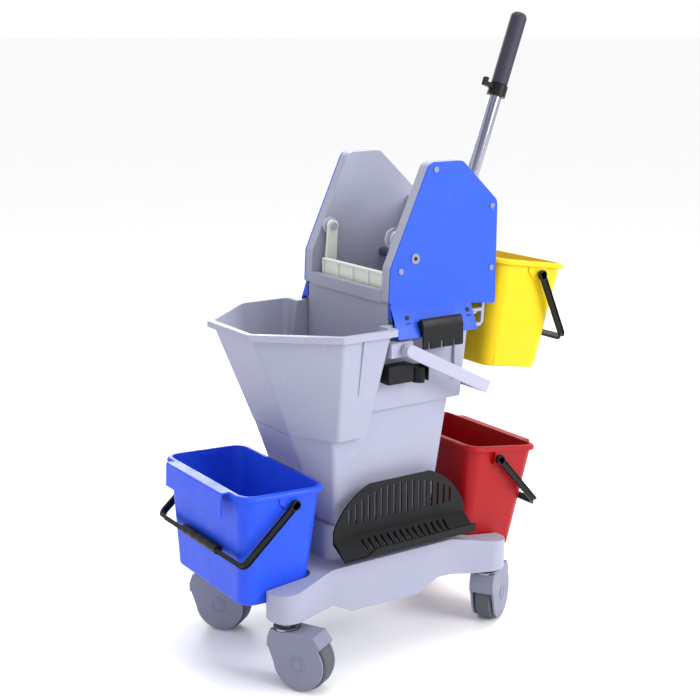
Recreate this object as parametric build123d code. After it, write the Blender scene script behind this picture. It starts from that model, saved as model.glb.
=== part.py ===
from build123d import *

import os
from math import cos, radians, sin

# A housekeeping cart: a wheeled chassis carries a main mop bucket with a lever press on top,
# and three small buckets, one in front, one behind and one hung behind the press.
# Millimetres. +Z is up, +X points to the rear, -X to the front, and the XZ plane is the
# plane of symmetry. The origin is on the floor, midway between the four swivel axes.

# ---------------------------------------------------------------- driving dimensions
GAP = 0.3            # clearance between pieces that can be lifted apart
RUN = 0.05           # radial running clearance of pins and shafts

# casters
WHEEL_BASE = 384
WHEEL_TRACK = 252
WHEEL_R = 45
TYRE_W = 28
HUB_R = 31
AXLE_R = 4
TRAIL = 30
HOOD_W = 40
HOOD_WALL = 3.5
HOOD_TOP = 92
HOOD_DISC_R = 42
STEM_R = 8
STEM_RING_R = 20
STEM_RING_H = 4
TRAIL_ANGLES = {"fl": -62, "fr": -54, "rl": 33, "rr": 28}

# chassis
ARM_END_R = 30
ARM_TOP_END = 150
ARM_TOP_HULL = 162
ARM_UNDER = 103
HULL_UNDER = 84
HULL_HALF_W = 104
HULL_FRONT = -92
HULL_REAR = 114
CHASSIS_WALL = 5
PLATFORM_X = 190
TURRET_TOP = 214.7
TURRET_HALF_W = 92
POCKET_DEPTH = 36
SOCKET_R = 17

# main bucket
RIM_TOP = 529
RIM_H = 10
RIM_OUT = 6
WALL = 4
SHOULDER_Z = TURRET_TOP + GAP
COLUMN_TOP = 397
COLUMN_BASE = (-86, 110, 88)      # front, rear, half width at the shoulder
COLUMN_HEAD = (-152, 126, 108)    # the same at the ledge under the rear box
PROW_BOTTOM = 361
PROW_TIP = -209
PROW_TIP_HALF = 60
PROW_SHOULDER_X = -105
PROW_HALF_W = 152
PROW_BACK = -15
BOX_FRONT = -40
BOX_REAR = 155
BOX_HALF_W = 121
BOX_DRAFT = 10
SPIGOT_INSET = 6

# main bucket handle and its bosses
BAIL_PIVOT = (8, 495)
BAIL_REACH = 172
BAIL_DROP = 27
BAIL_BAR = 20
BAIL_THICK = 9
BAIL_HALF_SPAN = 151
BAIL_PIN_R = 6
BAIL_PIN_HEAD = 3
PIN_DEPTH = 8
RIB_STAND = 3
BOSS_X = (-26, 14)
BOSS_DROP = 22
BOX_RIBS = (62, 120)
BOX_RIB_LOW = 430
BOX_RIB_W = 5

# mop handle clip
CLIP_R = 11.5
CLIP_WALL = 3
CLIP_H = 24
CLIP_CENTRE = (44, -135.5, 443)

# press
PANEL_IN = 98
PANEL_SKIN = 3
PANEL_OUT = 117
COVER_T = 3
HOPPER_FRONT = 1
HOPPER_REAR = 140
SIEVE_Z = 432
PANEL_FOLD = 556
PANEL_TOP = 768
PANEL_BEND = 600
PANEL_ROUND = 14
PANEL_FOOT_ROUND = 4
PANEL_REAR = 203
BAND_TOP = 578
SKIRT_LOW = 509
SKIRT_OUT = 143
SKIRT_REAR = 150
REAR_WALL_TOP = (194, 690)
BACK_SLAB = 4
TIE_BOLT = (45, 625)
SCREW_HEAD_R = 4.5
SCREW_HEAD_H = 1.5
SCREW_HOLE_R = 4
SCREW_R = 2
SCREW_BOSS_R = 6
WASHER_R = 8
WASHER_EYE_R = 3
SIEVE_HOLE_R = 5
SIEVE_PITCH = 24
SIEVE_ROWS = 5
SIEVE_COLUMNS = 7
SNAP_X = (40, 117)
SNAP_Z = (490, 537)
SNAP_OUT = 149.5
SNAP_SLOTS = (52, 76, 100)
SNAP_SLOT_W = 3
HANGER_Z = (500, 548, 600)
HANGER_WINDOWS = ((506, 524), (530, 552), (558, 574))
HANGER_MARGIN = 6
HANGER_T = 5.5
COVER_SCREWS = ((82, 757), (192, 695), (18, 608), (193, 598))

# press mechanism
LEVER_PIVOT = (138, 600)
LEVER_Y = -75
LEVER_LEAN = 19.8
LEVER_LEN = 411
LEVER_TUBE_R = 10
LEVER_WALL = 1.5
GRIP_LEN = 116
GRIP_R = 13
GRIP_CAP = 8
GRIP_ROUND = 9
COLLAR_R = 15
COLLAR_H = 18
SHAFT_R = 7
SOCKET_LEN = 72
SOCKET_WALL = 4
SOCKET_HUB_R = 16
SOCKET_HUB_W = 32
TUBE_SEAT = 8
JAW_PIVOT = (32, 652)
JAW_HUB_R = 17
JAW_CAP_Y = 80
JAW_SHAFT_R = 6
JAW_TOP = 602
JAW_LOW = 472
JAW_X = 12
JAW_T = 4
JAW_HALF_W = 86
JAW_RIBS = 5
JAW_RIB_W = 3
JAW_ARM_T = 4
JAW_EYE_R = 10
LEVER_TRAVEL = 60
JAW_TRAVEL = 24
LEVER_CRANK = 13
ROD_PIN_R = 3
ROD_W = 12
ROD_T = 3
CRANK_T = 3.5
OPEN_PIVOT_PLAY = 2.2

# small buckets
PAIL_X = 148
PAIL_Y = 260
PAIL_H = 176
PAIL_BASE_X = 114
PAIL_BASE_Y = 222
PAIL_RIM = 5
PAIL_RIM_H = 8
PAIL_WALL = 3
PAIL_CORNER = 22
HOOK_HALF = 88
HOOK_GAP = 14
HOOK_DROP = 38
HOOK_T = 3
PAIL_PIVOT_X = 14
PAIL_PIVOT_Z = -20
PAIL_BAIL_LEN = 122
PAIL_BAIL_W = 11
PAIL_BAIL_T = 6
PAIL_GRIP_R = 7.5
PAIL_GRIP_LEN = 110
PAIL_PIN_R = 4
PAILS = {              # rim centre x, z, lean about +Y, turned end for end, handle angle
    "blue": (-191.5, 303, 2.5, False, 49),
    "red": (228, 300, 8, True, 42),
    "yellow": (278.5, 600, 9, False, 24),
}

# side tray
TRAY_X0 = -103
TRAY_X1 = 147
TRAY_TOP = 284
TRAY_SIDE_TOP = 218
TRAY_BEND = 202
TRAY_FLOOR = 179
TRAY_LIP = 13
TRAY_BACK_Y = 117
TRAY_FRONT_Y = 150
TRAY_T = 3
TRAY_SLOTS = 17

AXLE_Z = WHEEL_R
HOOD_IN = HOOD_W / 2 - HOOD_WALL
CASTERS = {
    "fl": (-WHEEL_BASE / 2, -WHEEL_TRACK / 2),
    "fr": (-WHEEL_BASE / 2, WHEEL_TRACK / 2),
    "rl": (WHEEL_BASE / 2, -WHEEL_TRACK / 2),
    "rr": (WHEEL_BASE / 2, WHEEL_TRACK / 2),
}

os.makedirs("parts", exist_ok=True)


# ---------------------------------------------------------------- helpers
def save(name, shape):
    export_step(shape, f"parts/{name}.step")


def outline(points, radius=0.0):
    face = make_face(Polyline(*points, close=True))
    if radius:
        face = fillet(face.vertices(), radius)
    return face


def plate_xz(points, y0, y1, radius=0.0):
    """A plate whose outline is drawn in x and z, from y0 to y1."""
    return thicken_xz(outline(points, radius), y0, y1)


def thicken_xz(face, y0, y1):
    """Turns a face drawn in x and z into a plate from y0 to y1."""
    plane = Plane(origin=(0, y0, 0), x_dir=(1, 0, 0), z_dir=(0, -1, 0))
    way = (0, 1 if y1 > y0 else -1, 0)
    return extrude(plane * face, amount=abs(y1 - y0), dir=way)


def bar_yz(points, x0, x1, radius=0.0):
    """A bar whose section is drawn in y and z, from x0 to x1."""
    plane = Plane(origin=(x0, 0, 0), x_dir=(0, 1, 0), z_dir=(1, 0, 0))
    return extrude(plane * outline(points, radius), amount=x1 - x0, dir=(1, 0, 0))


def block(x0, x1, y0, y1, z0, z1):
    return Pos((x0 + x1) / 2, (y0 + y1) / 2, (z0 + z1) / 2) * Box(x1 - x0, y1 - y0, z1 - z0)


def rod_y(x, z, r, y0, y1):
    """A cylinder along Y."""
    return Pos(x, (y0 + y1) / 2, z) * Rot(90, 0, 0) * Cylinder(r, abs(y1 - y0))


def both_sides(shape):
    return shape + mirror(shape, about=Plane.XZ)


def group(shapes):
    return Compound(children=[s for shape in shapes for s in shape.solids()])


# ---------------------------------------------------------------- casters
def hood_side(grow):
    """The side outline of a caster hood, x along the trail from the swivel axis."""
    disc = Pos(TRAIL, AXLE_Z) * Circle(HOOD_DISC_R + grow)
    top = outline([(-23 - grow, 62), (-23 - grow, 76), (-17, HOOD_TOP + grow), (56, HOOD_TOP + grow),
                   (68 + grow, 76), (64 + grow, 70)])
    cap = outline([(-12, 40), (-21, 64), (64, 70), (71, 45)])
    return disc + top + cap


def caster_hood():
    plane = Plane(origin=(0, 0, 0), x_dir=(1, 0, 0), z_dir=(0, -1, 0))
    shell = extrude(plane * hood_side(0), amount=HOOD_W / 2, both=True)
    space = rod_y(TRAIL, AXLE_Z, WHEEL_R + 1.5, -HOOD_IN, HOOD_IN)
    window = block(-60, TRAIL - 20, -HOOD_IN, HOOD_IN, -5, 58)
    window += block(TRAIL + 20, 120, -HOOD_IN, HOOD_IN, -5, 62)
    floor_cut = block(-60, 120, -HOOD_IN, HOOD_IN, -5, 30)
    recess = Pos(0, 0, HOOD_TOP) * Cylinder(STEM_RING_R + 1.5, 4)
    bore = Pos(0, 0, HOOD_TOP - 2) * Cylinder(STEM_R + RUN, 30)
    pin = rod_y(TRAIL, AXLE_Z, AXLE_R, -HOOD_W, HOOD_W)
    return shell - space - window - floor_cut - recess - bore - pin


def caster_wheel():
    hub = rod_y(TRAIL, AXLE_Z, HUB_R, -TYRE_W / 2 + 2, TYRE_W / 2 - 2)
    hub += rod_y(TRAIL, AXLE_Z, 9, -HOOD_IN + 0.6, HOOD_IN - 0.6)
    hub -= rod_y(TRAIL, AXLE_Z, AXLE_R + RUN, -HOOD_W, HOOD_W)
    tyre = rod_y(TRAIL, AXLE_Z, WHEEL_R, -TYRE_W / 2, TYRE_W / 2)
    tyre = fillet(tyre.edges().filter_by(GeomType.CIRCLE), 5)
    tyre -= rod_y(TRAIL, AXLE_Z, HUB_R, -HOOD_W, HOOD_W)
    return hub, tyre


def casters():
    hood = caster_hood()
    hub, tyre = caster_wheel()
    axle = rod_y(TRAIL, AXLE_Z, AXLE_R, -HOOD_W / 2 + 0.5, HOOD_W / 2 - 0.5)
    for name, (x, y) in CASTERS.items():
        place = Pos(x, y, 0) * Rot(0, 0, TRAIL_ANGLES[name])
        save(f"caster_{name}_hood", place * hood)
        save(f"caster_{name}_axle", place * axle)
        save(f"caster_{name}_hub", place * hub)
        save(f"caster_{name}_tyre", place * tyre)


def caster_stems():
    ring_low = HOOD_TOP - 2 + GAP
    stem = Pos(0, 0, ring_low + STEM_RING_H / 2) * Cylinder(STEM_RING_R, STEM_RING_H)
    stem_low = AXLE_Z + (WHEEL_R ** 2 - (TRAIL - STEM_R) ** 2) ** 0.5 + 2.5
    stem_top = ARM_TOP_END - 14
    stem += Pos(0, 0, (stem_low + stem_top) / 2) * Cylinder(STEM_R, stem_top - stem_low)
    return group([Pos(x, y, 0) * stem for x, y in CASTERS.values()])


# ---------------------------------------------------------------- chassis
def pail_place(name):
    x, z, lean, turned, _ = PAILS[name]
    return Pos(x, 0, z) * Rot(0, lean, 0) * Rot(0, 0, 180 if turned else 0)


def chassis_plan(inset):
    plan = Pos((HULL_FRONT + HULL_REAR) / 2, 0) * Rectangle(
        HULL_REAR - HULL_FRONT - 2 * inset, 2 * (HULL_HALF_W - inset))
    plan += Rectangle(2 * (PLATFORM_X - inset), 2 * (WHEEL_TRACK / 2 - inset))
    for x, y in CASTERS.values():
        side = 1 if y > 0 else -1
        inner_x = -64 if x < 0 else 76
        end = Pos(x, y) * Circle(ARM_END_R - inset)
        root = Pos(inner_x, side * (HULL_HALF_W - 34)) * Circle(34 - inset)
        plan += make_hull(end.edges() + root.edges())
    return plan


def chassis():
    half = WHEEL_BASE / 2 + ARM_END_R + 5
    plan = extrude(Pos(0, 0, 60) * chassis_plan(0), amount=200)
    side = plate_xz([(-half, 108), (-150, ARM_UNDER + 2), (-108, ARM_UNDER), (-72, HULL_UNDER + 2),
                     (54, HULL_UNDER), (92, ARM_UNDER), (150, ARM_UNDER - 2), (half, ARM_UNDER),
                     (half, ARM_TOP_END - 2), (HULL_REAR + 8, ARM_TOP_HULL), (HULL_FRONT - 8, ARM_TOP_HULL),
                     (-half, ARM_TOP_END)], -200, 200)
    body = plan & side
    base = Pos((HULL_FRONT + HULL_REAR) / 2, 0, ARM_TOP_HULL - 20) * RectangleRounded(
        HULL_REAR - HULL_FRONT + 14, 2 * HULL_HALF_W - 8, 20)
    head = Pos((HULL_FRONT + HULL_REAR) / 2, 0, TURRET_TOP) * RectangleRounded(
        HULL_REAR - HULL_FRONT, 2 * TURRET_HALF_W, 22)
    body += loft([base, head])
    body -= chassis_hollow()
    socket_low = HOOD_TOP + STEM_RING_H
    socket_top = ARM_TOP_END - 8
    for x, y in CASTERS.values():
        body += Pos(x, y, (socket_low + socket_top) / 2) * Cylinder(SOCKET_R, socket_top - socket_low)
    for x, y in CASTERS.values():
        body -= Pos(x, y, HOOD_TOP) * Cylinder(STEM_RING_R + 2, 2 * STEM_RING_H + 8)
        body -= Pos(x, y, 0) * Cylinder(STEM_R, 2 * (ARM_TOP_END - 14))
    body -= turret_pocket(1.0)
    for name in ("blue", "red"):
        body -= pail_well(name)
    return body


def turret_pocket(clearance):
    front, rear, half = COLUMN_BASE
    grow = clearance - SPIGOT_INSET
    low = TURRET_TOP - POCKET_DEPTH
    face = Pos((front + rear) / 2, 0, low) * RectangleRounded(
        rear - front + 2 * grow, 2 * (half + grow), 16)
    return extrude(face, amount=POCKET_DEPTH + 10)


def pail_well(name):
    """The seat that a small bucket stands in, cut down to the underside of its base."""
    clear = 2
    low = Pos(0, 0, -PAIL_H - GAP) * RectangleRounded(PAIL_BASE_X + 2 * clear, PAIL_BASE_Y + 2 * clear, 20)
    high = Pos(0, 0, -PAIL_H + 90) * RectangleRounded(PAIL_BASE_X + 24, PAIL_BASE_Y + 24, 20)
    return pail_place(name) * loft([low, high])


def chassis_hollow():
    """The open underside, left by walls of one thickness."""
    floor = 126 - CHASSIS_WALL - 4
    hollow = extrude(Pos(0, 0, 60) * chassis_plan(CHASSIS_WALL), amount=floor - 60)
    pocket_floor = TURRET_TOP - POCKET_DEPTH - CHASSIS_WALL
    base = Pos((HULL_FRONT + HULL_REAR) / 2, 0, floor - 1) * RectangleRounded(
        HULL_REAR - HULL_FRONT - 2 * CHASSIS_WALL, 2 * (HULL_HALF_W - 4 - CHASSIS_WALL), 18)
    head = Pos((HULL_FRONT + HULL_REAR) / 2, 0, pocket_floor) * RectangleRounded(
        HULL_REAR - HULL_FRONT - 2 * CHASSIS_WALL - 6, 2 * (TURRET_HALF_W - CHASSIS_WALL), 18)
    hollow += loft([base, head])
    for x, y in CASTERS.values():
        hollow -= Pos(x, y, 100) * Cylinder(SOCKET_R + 7, 200)
    return hollow


# ---------------------------------------------------------------- main bucket
def column_section(z, inset):
    share = (z - SHOULDER_Z) / (COLUMN_TOP - SHOULDER_Z)
    front, rear, half = (a + (b - a) * share for a, b in zip(COLUMN_BASE, COLUMN_HEAD))
    tip = 50 + 7 * share - 0.4 * inset
    corner = -80 - 18 * share
    points = [(front + inset, -tip), (corner + inset, -half + inset), (rear - inset, -half + inset),
              (rear - inset, half - inset), (corner + inset, half - inset), (front + inset, tip)]
    return Pos(0, 0, z) * outline(points, 12)


def prow_section(z, inset, grow=0.0):
    share = (z - PROW_BOTTOM) / (RIM_TOP - PROW_BOTTOM)
    tip_x = -139 + (PROW_TIP + 139) * share + inset
    tip = 56 + (PROW_TIP_HALF - 56) * share - 0.5 * inset
    corner = -96 + (PROW_SHOULDER_X + 96) * share + 0.6 * inset
    half = 122 + (PROW_HALF_W - 122) * share - inset
    back = PROW_BACK - 26 * (1 - share) - inset
    points = [(tip_x, -tip), (corner, -half), (back, -half), (back, half), (corner, half), (tip_x, tip)]
    return Pos(0, 0, z) * outline(points, 9)


def box_section(z, inset):
    share = (z - COLUMN_TOP) / (RIM_TOP - COLUMN_TOP)
    rear = BOX_REAR - BOX_DRAFT * (1 - share) - inset
    half = BOX_HALF_W - BOX_DRAFT / 2 * (1 - share) - inset
    return Pos((BOX_FRONT + rear) / 2, 0, z) * RectangleRounded(rear - BOX_FRONT, 2 * half, 12)


def bucket_form(inset, lift, top):
    """The whole bucket as a solid; inset and lift give its inside."""
    foot = SHOULDER_Z if inset == 0 else SHOULDER_Z - 1
    form = loft([column_section(foot, inset), column_section(COLUMN_TOP + lift, inset)])
    form += loft([prow_section(PROW_BOTTOM + lift, inset), prow_section(top, inset)])
    form += loft([box_section(COLUMN_TOP + lift, inset), box_section(top, inset)])
    return form


def rim_band():
    plan = prow_section(RIM_TOP, -RIM_OUT) + box_section(RIM_TOP, -RIM_OUT)
    return extrude(plan, amount=-RIM_H)


def spigot(inset):
    front, rear, half = COLUMN_BASE
    low = TURRET_TOP - POCKET_DEPTH + GAP + (WALL if inset else 0)
    face = Pos((front + rear) / 2, 0, low) * RectangleRounded(
        rear - front - 2 * (SPIGOT_INSET + inset), 2 * (half - SPIGOT_INSET - inset), 15)
    return extrude(face, amount=SHOULDER_Z + (12 if inset else 2) - low)


def main_bucket():
    bucket = bucket_form(0, 0, RIM_TOP) + spigot(0) + rim_band()
    bucket -= bucket_form(WALL, WALL, RIM_TOP + 5)
    bucket -= spigot(WALL)
    x, z = BAIL_PIVOT
    half_drop = BOSS_DROP / 2
    boss = block(x + BOSS_X[0], x + BOSS_X[1], -BAIL_HALF_SPAN + 3, -BOX_HALF_W + 1,
                 z - half_drop, z + half_drop)
    bucket += both_sides(boss)
    bucket -= both_sides(rod_y(x, z, BAIL_PIN_R, -BAIL_HALF_SPAN, -BOX_HALF_W - PIN_DEPTH))
    for rib_x in BOX_RIBS:
        rib = block(rib_x, rib_x + BOX_RIB_W, -BOX_HALF_W - RIB_STAND, -BOX_HALF_W + WALL,
                    BOX_RIB_LOW, RIM_TOP - RIM_H)
        bucket += both_sides(rib)
    return bucket


def bail_pins():
    x, z = BAIL_PIVOT
    outside = -BAIL_HALF_SPAN - BAIL_THICK - 1
    pin = rod_y(x, z, BAIL_PIN_R, outside - 1, -BOX_HALF_W - PIN_DEPTH)
    pin += rod_y(x, z, BAIL_PIN_R + BAIL_PIN_HEAD, outside - BAIL_PIN_HEAD, outside)
    return group([both_sides(pin)])


def bucket_bail():
    x, z = BAIL_PIVOT
    y_in, y_out = BAIL_HALF_SPAN, BAIL_HALF_SPAN + BAIL_THICK
    arm = plate_xz([(0, -BAIL_BAR / 2), (BAIL_REACH, -BAIL_BAR / 2), (BAIL_REACH, BAIL_BAR / 2),
                    (0, BAIL_BAR / 2)], -y_out, -y_in)
    arm += rod_y(0, 0, BAIL_BAR / 2, -y_out, -y_in)
    arm -= rod_y(0, 0, BAIL_PIN_R + RUN, -y_out - 5, 0)
    bail = both_sides(arm)
    bail += block(BAIL_REACH - BAIL_THICK, BAIL_REACH, -y_out, y_out, -BAIL_BAR / 2, BAIL_BAR / 2)
    return Pos(x, 0, z) * Rot(0, BAIL_DROP, 0) * bail


def mop_clip_bracket():
    x, y, z = CLIP_CENTRE
    top = z + 26
    wall_y = -BOX_HALF_W + BOX_DRAFT / 2 * (RIM_TOP - top) / (RIM_TOP - COLUMN_TOP)
    return block(x - 62, x - CLIP_R - CLIP_WALL, y - 6, wall_y, z - 2, top)


def mop_clip():
    x, y, z = CLIP_CENTRE
    ring = Cylinder(CLIP_R + CLIP_WALL, CLIP_H) - Cylinder(CLIP_R, CLIP_H + 2)
    ring = Pos(x, y, z + CLIP_H / 2 - 4) * ring
    mouth = Pos(x, y, z) * Rot(0, 0, -60) * block(0, 40, -8, 8, -20, 60)
    return ring - mouth


# ---------------------------------------------------------------- side tray
def tray_half_oval():
    """The outline of the slotted back, and the middle and half length of the tray."""
    mid = (TRAY_X0 + TRAY_X1) / 2
    half = (TRAY_X1 - TRAY_X0) / 2
    flat = 0.46 * half
    shoulder = (0.77 * half, TRAY_SIDE_TOP + 0.64 * (TRAY_TOP - TRAY_SIDE_TOP))
    left = ThreePointArc((TRAY_X0, TRAY_SIDE_TOP), (mid - shoulder[0], shoulder[1]), (mid - flat, TRAY_TOP))
    right = ThreePointArc((mid + flat, TRAY_TOP), (mid + shoulder[0], shoulder[1]), (TRAY_X1, TRAY_SIDE_TOP))
    edges = [Line((TRAY_X0, TRAY_BEND), (TRAY_X0, TRAY_SIDE_TOP)), left,
             Line((mid - flat, TRAY_TOP), (mid + flat, TRAY_TOP)), right,
             Line((TRAY_X1, TRAY_SIDE_TOP), (TRAY_X1, TRAY_BEND)),
             Line((TRAY_X1, TRAY_BEND), (TRAY_X0, TRAY_BEND))]
    return make_face(edges), mid, half


def side_tray():
    face, mid, half = tray_half_oval()
    back, front = TRAY_BACK_Y, TRAY_FRONT_Y
    plane = Plane(origin=(0, -back, 0), x_dir=(1, 0, 0), z_dir=(0, -1, 0))
    tray = extrude(plane * face, amount=TRAY_T, dir=(0, -1, 0))
    tray += bar_yz([(-back, TRAY_BEND), (-back - TRAY_T, TRAY_BEND + 3), (-front, TRAY_FLOOR + TRAY_T),
                    (-front, TRAY_FLOOR), (-back, TRAY_BEND - 4)], TRAY_X0, TRAY_X1)
    pitch = 2 * half * 0.82 / TRAY_SLOTS
    slot_low = TRAY_BEND + 23
    for i in range(TRAY_SLOTS):
        x = mid + (i - (TRAY_SLOTS - 1) / 2) * pitch
        slot_top = slot_low + 4 + (TRAY_TOP - slot_low - 12) * (1 - (abs(x - mid) / half) ** 2.2)
        tray -= block(x - 2, x + 2, -back - 8, -back + 4, slot_low, slot_top)
    for i in range(TRAY_SLOTS - 3):
        x = mid + (i - (TRAY_SLOTS - 4) / 2) * pitch
        tray -= block(x - 2, x + 2, -front + 8, -back - 8, TRAY_FLOOR - 20, TRAY_BEND + 20)
    lip_top = TRAY_FLOOR + TRAY_LIP
    lip_low = TRAY_FLOOR + TRAY_T
    tray += plate_xz([(TRAY_X0, TRAY_FLOOR), (TRAY_X1, TRAY_FLOOR), (TRAY_X1, lip_top),
                      (TRAY_X0 + 60, lip_top),
                      (TRAY_X0 + 40, lip_low), (TRAY_X0, lip_low)], -front - TRAY_T, -front)
    foot_y = TURRET_HALF_W + 8
    for x in (TRAY_X0 + 55, TRAY_X1 - 55):
        tray += block(x - 2, x + 2, -back, -foot_y, ARM_TOP_HULL + GAP, TRAY_BEND + 20)
    return tray


# ---------------------------------------------------------------- press
def panel_points():
    return [(-3, PANEL_FOLD + 4), (0, 613), (71, PANEL_TOP), (133, PANEL_TOP), (PANEL_REAR, 703),
            (PANEL_REAR, 540), (SKIRT_REAR + 4, 546)]


def panel_outline():
    """The outline of a side panel, its upper corners rounder than those at its foot."""
    face = outline(panel_points())
    face = fillet(face.vertices().filter_by(lambda corner: corner.Y > PANEL_BEND), PANEL_ROUND)
    return fillet(face.vertices().filter_by(lambda corner: corner.Y < PANEL_BEND), PANEL_FOOT_ROUND)


def rear_wall_points(thick):
    top_x, top_z = REAR_WALL_TOP
    low_z = RIM_TOP + 4
    return [(HOPPER_REAR - thick, low_z - 8), (HOPPER_REAR, low_z - 8), (HOPPER_REAR, low_z), (top_x, top_z),
            (top_x - thick, top_z), (HOPPER_REAR - thick, low_z)]


def side_housing():
    """The near side housing, open outwards, its cavity closed by the cover."""
    skin = thicken_xz(panel_outline(), -PANEL_IN - PANEL_SKIN, -PANEL_IN)
    ring = thicken_xz(panel_outline(), -PANEL_OUT, -PANEL_IN - PANEL_SKIN)
    inside = offset(panel_outline(), -PANEL_SKIN)
    plane = Plane(origin=(0, -PANEL_OUT - 1, 0), x_dir=(1, 0, 0), z_dir=(0, -1, 0))
    cavity = extrude(plane * inside, amount=PANEL_OUT - PANEL_IN - PANEL_SKIN + 1, dir=(0, 1, 0))
    housing = skin + (ring - cavity)
    for x, z in COVER_SCREWS:
        housing += rod_y(x, z, SCREW_BOSS_R, -PANEL_OUT, -PANEL_IN - PANEL_SKIN)
        housing -= rod_y(x, z, SCREW_R, -PANEL_OUT - 1, -PANEL_IN - PANEL_SKIN - 4)
    housing -= rod_y(*LEVER_PIVOT, SHAFT_R + RUN, -PANEL_OUT, -PANEL_IN + 2)
    housing -= rod_y(*JAW_PIVOT, JAW_SHAFT_R + RUN, -PANEL_OUT, -PANEL_IN + 2)
    return housing


def hopper():
    """The lower hopper that hangs in the bucket, with its drained floor."""
    half = PANEL_IN + PANEL_SKIN
    walls = block(HOPPER_FRONT, HOPPER_REAR, -half, half, SIEVE_Z, PANEL_FOLD + 6)
    above = PANEL_FOLD + 20
    rear_in = HOPPER_REAR - BACK_SLAB
    walls -= block(HOPPER_FRONT + 4, rear_in, -PANEL_IN, PANEL_IN, SIEVE_Z + 4, above)
    walls -= block(rear_in - 1, HOPPER_REAR + 1, -PANEL_IN, PANEL_IN, RIM_TOP, above)
    walls += block(HOPPER_FRONT, HOPPER_FRONT + 4, -BOX_HALF_W + 9, BOX_HALF_W - 9, SIEVE_Z, PANEL_FOLD + 3)
    middle = (HOPPER_FRONT + HOPPER_REAR) / 2
    for i in range(SIEVE_ROWS):
        for j in range(SIEVE_COLUMNS):
            x = middle + (i - (SIEVE_ROWS - 1) / 2) * SIEVE_PITCH
            y = (j - (SIEVE_COLUMNS - 1) / 2) * SIEVE_PITCH
            walls -= Pos(x, y, SIEVE_Z) * Cylinder(SIEVE_HOLE_R, 4 * SIEVE_HOLE_R)
    return walls


def press_body():
    body = both_sides(side_housing()) + hopper()
    body += block(-3, 9, -PANEL_IN - 1, PANEL_IN + 1, PANEL_FOLD + 3, BAND_TOP)
    body += plate_xz(rear_wall_points(BACK_SLAB), -PANEL_IN - 1, PANEL_IN + 1)
    seat_z = RIM_TOP + GAP
    seat_y = BOX_HALF_W + RIM_OUT
    seat = block(HOPPER_FRONT + 5, HOPPER_REAR + 20, -seat_y, seat_y, seat_z, seat_z + 3)
    seat -= block(-50, HOPPER_REAR - 1, -PANEL_IN - 1, PANEL_IN + 1, seat_z - 5, seat_z + 10)
    return body + seat


def skirt_y(z):
    """The outer face of a skirt at height z, as a distance from the plane of symmetry."""
    fold = PANEL_OUT + COVER_T
    return fold + (SKIRT_OUT - fold) * (PANEL_FOLD - z) / (PANEL_FOLD - SKIRT_LOW)


def cover():
    """The near blue cover: a flat plate with a flared skirt."""
    plate = thicken_xz(panel_outline(), -PANEL_OUT - COVER_T, -PANEL_OUT)
    low_in = skirt_y(SKIRT_LOW) - COVER_T
    section = [(-PANEL_OUT, PANEL_FOLD + 5), (-PANEL_OUT - COVER_T, PANEL_FOLD + 5),
               (-PANEL_OUT - COVER_T, PANEL_FOLD), (-SKIRT_OUT, SKIRT_LOW), (-low_in, SKIRT_LOW - 1),
               (-PANEL_OUT, PANEL_FOLD - 1)]
    plate += bar_yz(section, HOPPER_FRONT, SKIRT_REAR)
    rim_y = -BOX_HALF_W - RIM_OUT - 3
    front = [(-PANEL_OUT + 4, PANEL_FOLD + 2), (-PANEL_OUT - COVER_T, PANEL_FOLD + 2),
             (-PANEL_OUT - COVER_T, PANEL_FOLD), (-SKIRT_OUT, SKIRT_LOW),
             (rim_y, SKIRT_LOW), (rim_y, RIM_TOP + 6), (-PANEL_OUT + 4, RIM_TOP + 6)]
    plate += bar_yz(front, HOPPER_FRONT - 1.5, HOPPER_FRONT + 1)
    for x, z in COVER_SCREWS + (TIE_BOLT,):
        plate -= rod_y(x, z, SCREW_HOLE_R, -PANEL_OUT - COVER_T - 1, -PANEL_OUT + 1)
    return plate


def cover_screws():
    shapes = []
    for x, z in COVER_SCREWS:
        face = -PANEL_OUT - COVER_T
        shank = rod_y(x, z, SCREW_HEAD_R, face - SCREW_HEAD_H, face)
        shank += rod_y(x, z, SCREW_HOLE_R, face, -PANEL_OUT)
        shank += rod_y(x, z, SCREW_R, -PANEL_OUT, -PANEL_IN - PANEL_SKIN - 4)
        shapes.append(both_sides(shank))
    return group(shapes)


def tie_bolts():
    face = -PANEL_OUT - COVER_T
    bolt = rod_y(*TIE_BOLT, WASHER_R, face - SCREW_HEAD_H, face)
    bolt += rod_y(*TIE_BOLT, SCREW_HOLE_R, face - 0.1, -PANEL_OUT)
    bolt += rod_y(*TIE_BOLT, WASHER_R - 1, -PANEL_OUT, -PANEL_OUT + SCREW_HOLE_R)
    bolt -= rod_y(*TIE_BOLT, WASHER_EYE_R, face - COVER_T, face - 0.2)
    return group([both_sides(bolt)])


def press_clips():
    """Snap clips over the skirts, with three slots in the lower edge of each."""
    low, top = SNAP_Z
    inside = -SNAP_OUT + COVER_T
    section = [(-skirt_y(top - 7), top - 7), (inside + 4, top), (inside, top - 4), (-SNAP_OUT, top - 15),
               (-SNAP_OUT, low), (inside, low), (inside, SKIRT_LOW), (-SKIRT_OUT, SKIRT_LOW)]
    clip = bar_yz(section, *SNAP_X)
    for x in SNAP_SLOTS:
        half = SNAP_SLOT_W / 2
        clip -= block(x - half, x + half, -SNAP_OUT - 1, inside + 1, low - 1, low + 10)
    return group([both_sides(clip)])


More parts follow.
